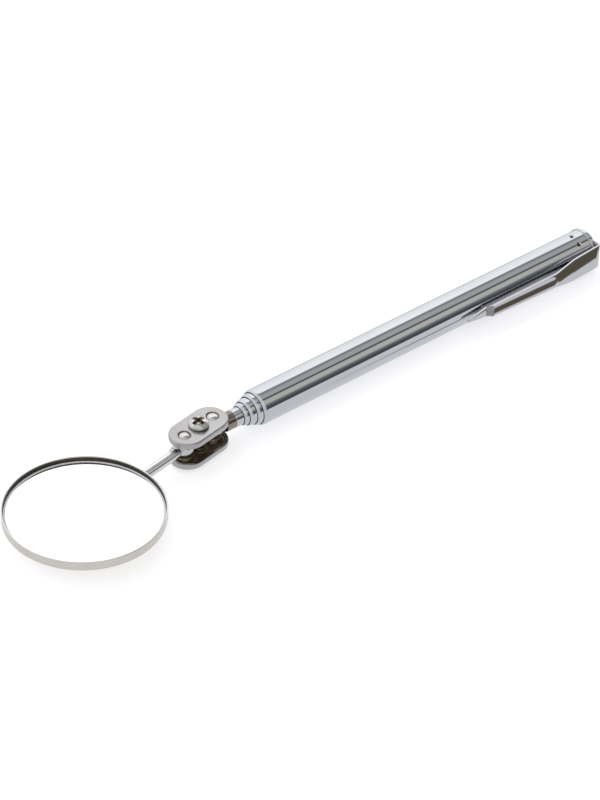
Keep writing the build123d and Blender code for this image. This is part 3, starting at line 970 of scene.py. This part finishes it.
def rod_mesh():
    """The rod, from its tenon in the ball to its tongue under the case."""
    bm = bmesh.new()
    step = ROD_RADIUS - TENON_RADIUS
    stations = [(-TENON_DEPTH, TENON_RADIUS - TENON_EDGE), (TENON_EDGE - TENON_DEPTH, TENON_RADIUS)]
    stations.append((ROD_START, TENON_RADIUS))
    for k in range(1, SHOULDER_STEPS + 1):
        t = math.radians(90 * k / SHOULDER_STEPS)
        stations.append((ROD_START + step * (1 - math.cos(t)), TENON_RADIUS + step * math.sin(t)))
    stations.append((ROD_START + step + SHOULDER_BLEND, ROD_RADIUS))
    stations.append((shank_end - END_BLEND, ROD_RADIUS))
    rings = [rod_ring(bm, at, radius, radius, radius, 2) for at, radius in stations]
    for back, top in ROD_END:
        rings.append(rod_ring(bm, shank_end - back, ROD_RADIUS, top, ROD_RADIUS, 2))
    for k in range(1, TONGUE_STEPS + 1):
        ease = k / TONGUE_STEPS
        half = ROD_RADIUS + (TONGUE_HALF - ROD_RADIUS) * ease
        bottom = ROD_RADIUS + (TONGUE_SHEET - ROD_RADIUS) * ease
        power = 2 + (TONGUE_POWER - 2) * ease
        rings.append(rod_ring(bm, shank_end + TONGUE_BLEND * ease, half, 0.0, bottom, power))
    straight = shank_end + TONGUE - TONGUE_HALF
    for k in range(TIP_STEPS + 1):
        t = math.radians(TIP_ARC * k / TIP_STEPS)
        half = TONGUE_HALF * math.cos(t)
        at = straight + TONGUE_HALF * math.sin(t)
        rings.append(rod_ring(bm, at, half, 0.0, TONGUE_SHEET, TONGUE_POWER))
    skin(bm, rings)
    bm.faces.new(rings[0])
    bm.faces.new(rings[-1])
    bmesh.ops.remove_doubles(bm, verts=bm.verts, dist=1e-5)
    return bm


piece("rod", rod_mesh(), ROD, "mirror_head", rod_steel, "polished_steel", "mirror_rod")

# Mirror
CASE_SHEET = 0.45
CASE_FLOOR = 0.4
CASE_ROUNDS = {1: 0.35, 2: 0.2, 3: 0.2, 4: 0.15}
WALL_GAP = 0.04
LIP_BRIGHT = 0.25
MARGIN = 0.85
GLASS_ROUNDS = {1: 0.12, 2: 0.15}
case_height = (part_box("mirror_case")[1].z - CASE_BACK.z) / MM
inner = case_radius - CASE_SHEET
outline = [
    (0.0, 0.0),
    (0.0, case_radius),
    (case_height, case_radius),
    (case_height, inner),
    (CASE_FLOOR, inner),
    (CASE_FLOOR, 0.0),
]
outline = rounded(outline, CASE_ROUNDS)
cup = turned(outline, upright=True, segments=FINE_SEGMENTS, closed=False)


def inside_case(point):
    """Whether a point lies on the case's inner wall, below its lip, or on its floor: these take painted
    shade.
    """
    away = math.hypot(point.x, point.y)
    return away < inner + WALL_GAP and CASE_FLOOR - TEST_GAP < point.z < case_height - LIP_BRIGHT


piece(
    "case", cup, CASE, "mirror_head", case_steel, "case_steel", "mirror_case",
    others=[(painted_shade_steel, inside_case)],
)

glass_low, glass_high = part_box("mirror_glass")
bottom, top = (glass_low.z - CASE_BACK.z) / MM, (glass_high.z - CASE_BACK.z) / MM
glass_radius = (glass_high.x - glass_low.x) / 2 / MM
margin = glass_radius - MARGIN
outline = [(bottom, 0.0), (bottom, glass_radius), (top, glass_radius)]
outline += [(top, margin), (top, 0.0)]
outline = rounded(outline, GLASS_ROUNDS)
disc = turned(outline, upright=True, segments=FINE_SEGMENTS, closed=False)


def in_margin(point):
    """Whether a point lies on the glass's outer ring, painted light and matte as a painted reflection
    of the case wall.
    """
    return math.hypot(point.x, point.y) > margin


piece(
    "glass", disc, CASE, "mirror_head", silvering, "mirror_glass", "mirror_glass",
    others=[(painted_reflection_glass, in_margin)],
)

# CAD nodes that stay
for node, shown in frame["nodes"].items():
    for ending, material in (("_bush", brass), ("_spring", bronze), ("backing", card)):
        if node.endswith(ending):
            shown.data.materials.clear()
            shown.data.materials.append(material)

# Studio: a pale floor, and a soft light whose bright and dark parts lie in bands along the barrel
PLAIN = (1.0, 1.0, 1.0)
COOL = (0.975, 0.985, 1.03)
SLATE = (0.86, 0.97, 1.16)
WARM = (0.99, 1.0, 0.93)
BANDS = [
    (-90, 0.93, PLAIN), (-40, 1.0, PLAIN), (-9, 1.15, COOL), (30, 1.32, COOL), (58, 1.46, COOL),
    (66.5, 1.3, COOL), (69.5, 0.34, PLAIN), (76, 0.3, COOL), (83, 0.46, COOL), (93, 0.58, COOL),
    (106, 0.54, COOL), (111.5, 0.4, PLAIN), (113.5, 0.03, PLAIN), (117.5, 0.03, PLAIN),
    (119.5, 0.42, WARM), (125, 0.66, WARM), (139, 0.72, WARM), (147, 0.54, PLAIN), (153, 0.24, COOL),
    (164, 0.13, SLATE), (176, 0.08, SLATE), (185, 0.12, SLATE), (189, 0.5, PLAIN),
    (210, 0.85, PLAIN), (270, 0.93, PLAIN),
]
# Where a direction leans towards the mirror, an even light takes over from most of the bands
AHEAD = 1.05
AHEAD_FROM, AHEAD_FULL = 0.25, -0.1
AHEAD_SHARE = 0.72


def fade(nodes, links, angle, bands):
    """A ramp of radiance over an angle in degrees from -90 to 270, each stop with its tint."""
    scaled = nodes.new("ShaderNodeMapRange")
    scaled.inputs["From Min"].default_value = -math.pi / 2
    scaled.inputs["From Max"].default_value = 3 * math.pi / 2
    links.new(angle, scaled.inputs["Value"])
    ramp = nodes.new("ShaderNodeValToRGB")
    stops = ramp.color_ramp.elements
    for k, (degrees, level, tint) in enumerate(bands):
        place = (degrees + 90) / 360
        stop = stops[0] if k == 0 else stops.new(place)
        stop.position = place
        stop.color = (level * tint[0], level * tint[1], level * tint[2], 1)
    stops.remove(stops[-1])
    links.new(scaled.outputs["Result"], ramp.inputs["Fac"])
    return ramp.outputs["Color"]


world = bpy.data.worlds.new("studio")
bpy.context.scene.world = world
world.use_nodes = True
nodes, links = world.node_tree.nodes, world.node_tree.links
nodes.clear()
where = nodes.new("ShaderNodeTexCoord")
parts = nodes.new("ShaderNodeSeparateXYZ")
links.new(where.outputs["Generated"], parts.inputs["Vector"])
flipped = nodes.new("ShaderNodeMath")
flipped.operation = "MULTIPLY"
flipped.inputs[1].default_value = -1.0
links.new(parts.outputs["Y"], flipped.inputs[0])
angle = nodes.new("ShaderNodeMath")
angle.operation = "ARCTAN2"
links.new(flipped.outputs["Value"], angle.inputs[0])
links.new(parts.outputs["Z"], angle.inputs[1])
quarter = nodes.new("ShaderNodeMath")
quarter.operation = "ADD"
quarter.inputs[1].default_value = math.pi / 2
links.new(angle.outputs["Value"], quarter.inputs[0])
bands = nodes.new("ShaderNodeBackground")
links.new(fade(nodes, links, quarter.outputs["Value"], BANDS), bands.inputs["Color"])
ahead = nodes.new("ShaderNodeBackground")
ahead.inputs["Color"].default_value = (*COOL, 1)
ahead.inputs["Strength"].default_value = AHEAD
forward = nodes.new("ShaderNodeMapRange")
forward.interpolation_type = "SMOOTHSTEP"
forward.inputs["From Min"].default_value = AHEAD_FROM
forward.inputs["From Max"].default_value = AHEAD_FULL
forward.inputs["To Max"].default_value = AHEAD_SHARE
links.new(parts.outputs["X"], forward.inputs["Value"])
lights = nodes.new("ShaderNodeMixShader")
links.new(forward.outputs["Result"], lights.inputs["Fac"])
links.new(bands.outputs["Background"], lights.inputs[1])
links.new(ahead.outputs["Background"], lights.inputs[2])
plain = nodes.new("ShaderNodeBackground")
plain.inputs["Color"].default_value = (1.0, 1.0, 1.0, 1)
path = nodes.new("ShaderNodeLightPath")
choice = nodes.new("ShaderNodeMixShader")
links.new(path.outputs["Is Camera Ray"], choice.inputs["Fac"])
links.new(lights.outputs["Shader"], choice.inputs[1])
links.new(plain.outputs["Background"], choice.inputs[2])
output = nodes.new("ShaderNodeOutputWorld")
links.new(choice.outputs["Shader"], output.inputs["Surface"])

FLOOR_HALF = 3.0
FLOOR_GLOW = 0.5
mesh = bpy.data.meshes.new("floor")
corners = [(-FLOOR_HALF, -FLOOR_HALF, 0), (FLOOR_HALF, -FLOOR_HALF, 0)]
corners += [(FLOOR_HALF, FLOOR_HALF, 0), (-FLOOR_HALF, FLOOR_HALF, 0)]
mesh.from_pydata(corners, [], [(0, 1, 2, 3)])
floor = bpy.data.objects.new("floor", mesh)
bpy.context.scene.collection.objects.link(floor)
paper, shader = new_material("paper")
shader.inputs["Base Color"].default_value = (0.8, 0.8, 0.8, 1)
shader.inputs["Roughness"].default_value = 0.9
shader.inputs["Specular IOR Level"].default_value = 0.1
shader.inputs["Emission Color"].default_value = (1, 1, 1, 1)
shader.inputs["Emission Strength"].default_value = FLOOR_GLOW
mesh.materials.append(paper)

# What gloss reflects of the floor is a painted reflection: pale by the tool, with a painted dark patch
# on its near side.
# The patch is a narrow strip that widens behind the clip's shoulder. The camera sees plain floor.
DARK_PATCH_NEAR = MOUTH.y - 0.0141
DARK_PATCH_NEAR_REAR = MOUTH.y - 0.0131
DARK_PATCH_FAR = MOUTH.y - 0.0164
DARK_PATCH_FAR_REAR = MOUTH.y - 0.06
DARK_PATCH_FRONT = MOUTH.x + 0.015
DARK_PATCH_FULL = MOUTH.x + 0.085
SHOULDER = MOUTH.x + 0.128
DARK_PATCH_SOFT = 0.0003
DARK_PATCH_SOFT_FAR = 0.01
SHOULDER_SOFT = 0.001
# The dark patch's colour: a painted reflection that only glossy rays see.
PAINTED_REFLECTION_DARK = (0.13, 0.115, 0.085, 1)
PALE = (0.86, 0.865, 0.92, 1)
nodes, links = paper.node_tree.nodes, paper.node_tree.links
where = nodes.new("ShaderNodeTexCoord")
parts = nodes.new("ShaderNodeSeparateXYZ")
links.new(where.outputs["Object"], parts.inputs["Vector"])


def ramp_over(socket, start, stop):
    """Rises from 0 to 1 as a coordinate goes from start to stop."""
    limits = nodes.new("ShaderNodeMapRange")
    limits.interpolation_type = "SMOOTHSTEP"
    limits.inputs["From Min"].default_value = start
    limits.inputs["From Max"].default_value = stop
    links.new(socket, limits.inputs["Value"])
    return limits.outputs["Result"]


def product(first, second):
    """One value times another."""
    times = nodes.new("ShaderNodeMath")
    times.operation = "MULTIPLY"
    links.new(first, times.inputs[0])
    links.new(second, times.inputs[1])
    return times.outputs["Value"]


def either(fac, first, second):
    """One value or another, by a value from 0 to 1."""
    between_both = nodes.new("ShaderNodeMix")
    links.new(fac, between_both.inputs[0])
    links.new(first, between_both.inputs[2])
    links.new(second, between_both.inputs[3])
    return between_both.outputs[0]


across, forwards = parts.outputs["Y"], parts.outputs["X"]
near = ramp_over(across, DARK_PATCH_NEAR + DARK_PATCH_SOFT, DARK_PATCH_NEAR - DARK_PATCH_SOFT)
near_rear = ramp_over(across, DARK_PATCH_NEAR_REAR + DARK_PATCH_SOFT, DARK_PATCH_NEAR_REAR - DARK_PATCH_SOFT)
far = ramp_over(across, DARK_PATCH_FAR - DARK_PATCH_SOFT, DARK_PATCH_FAR + DARK_PATCH_SOFT)
far_rear = ramp_over(across, DARK_PATCH_FAR_REAR - DARK_PATCH_SOFT_FAR, DARK_PATCH_FAR_REAR + DARK_PATCH_SOFT_FAR)
along = ramp_over(forwards, DARK_PATCH_FRONT, DARK_PATCH_FULL)
behind = ramp_over(forwards, SHOULDER - SHOULDER_SOFT, SHOULDER + SHOULDER_SOFT)
cover = product(either(behind, product(near, far), product(near_rear, far_rear)), along)
mix = nodes.new("ShaderNodeMix")
mix.data_type = "RGBA"
mix.inputs[6].default_value = PALE
mix.inputs[7].default_value = PAINTED_REFLECTION_DARK
links.new(cover, mix.inputs[0])
seen = nodes.new("ShaderNodeEmission")
links.new(mix.outputs[2], seen.inputs["Color"])
path = nodes.new("ShaderNodeLightPath")
choice = nodes.new("ShaderNodeMixShader")
links.new(path.outputs["Is Glossy Ray"], choice.inputs["Fac"])
links.new(shader.outputs["BSDF"], choice.inputs[1])
links.new(seen.outputs["Emission"], choice.inputs[2])
output = next(node for node in nodes if node.type == "OUTPUT_MATERIAL")
links.new(choice.outputs["Shader"], output.inputs["Surface"])

# Camera
FOCAL = 150.9
SENSOR = 36.0
ELEVATION = math.radians(37.83)
AZIMUTH = math.radians(-40.59)
ROLL = math.radians(1.27)
OFFSET = Vector((0.01452, 0.00262, 1.04477))
back = Vector((
    math.sin(AZIMUTH) * math.cos(ELEVATION),
    -math.cos(AZIMUTH) * math.cos(ELEVATION),
    math.sin(ELEVATION),
))
level_right = Vector((0, 0, 1)).cross(back).normalized()
level_up = back.cross(level_right)
right = level_right * math.cos(ROLL) + level_up * math.sin(ROLL)
up = level_up * math.cos(ROLL) - level_right * math.sin(ROLL)
lens = bpy.data.cameras.new("camera")
lens.lens = FOCAL
lens.sensor_width = SENSOR
lens.clip_start = 0.01
camera = bpy.data.objects.new("camera", lens)
turn = Matrix((right, up, back)).transposed().to_4x4()
camera.matrix_world = Matrix.Translation(MOUTH + turn.to_3x3() @ OFFSET) @ turn
bpy.context.scene.collection.objects.link(camera)
bpy.context.scene.camera = camera
bpy.context.scene.view_settings.view_transform = "Standard"
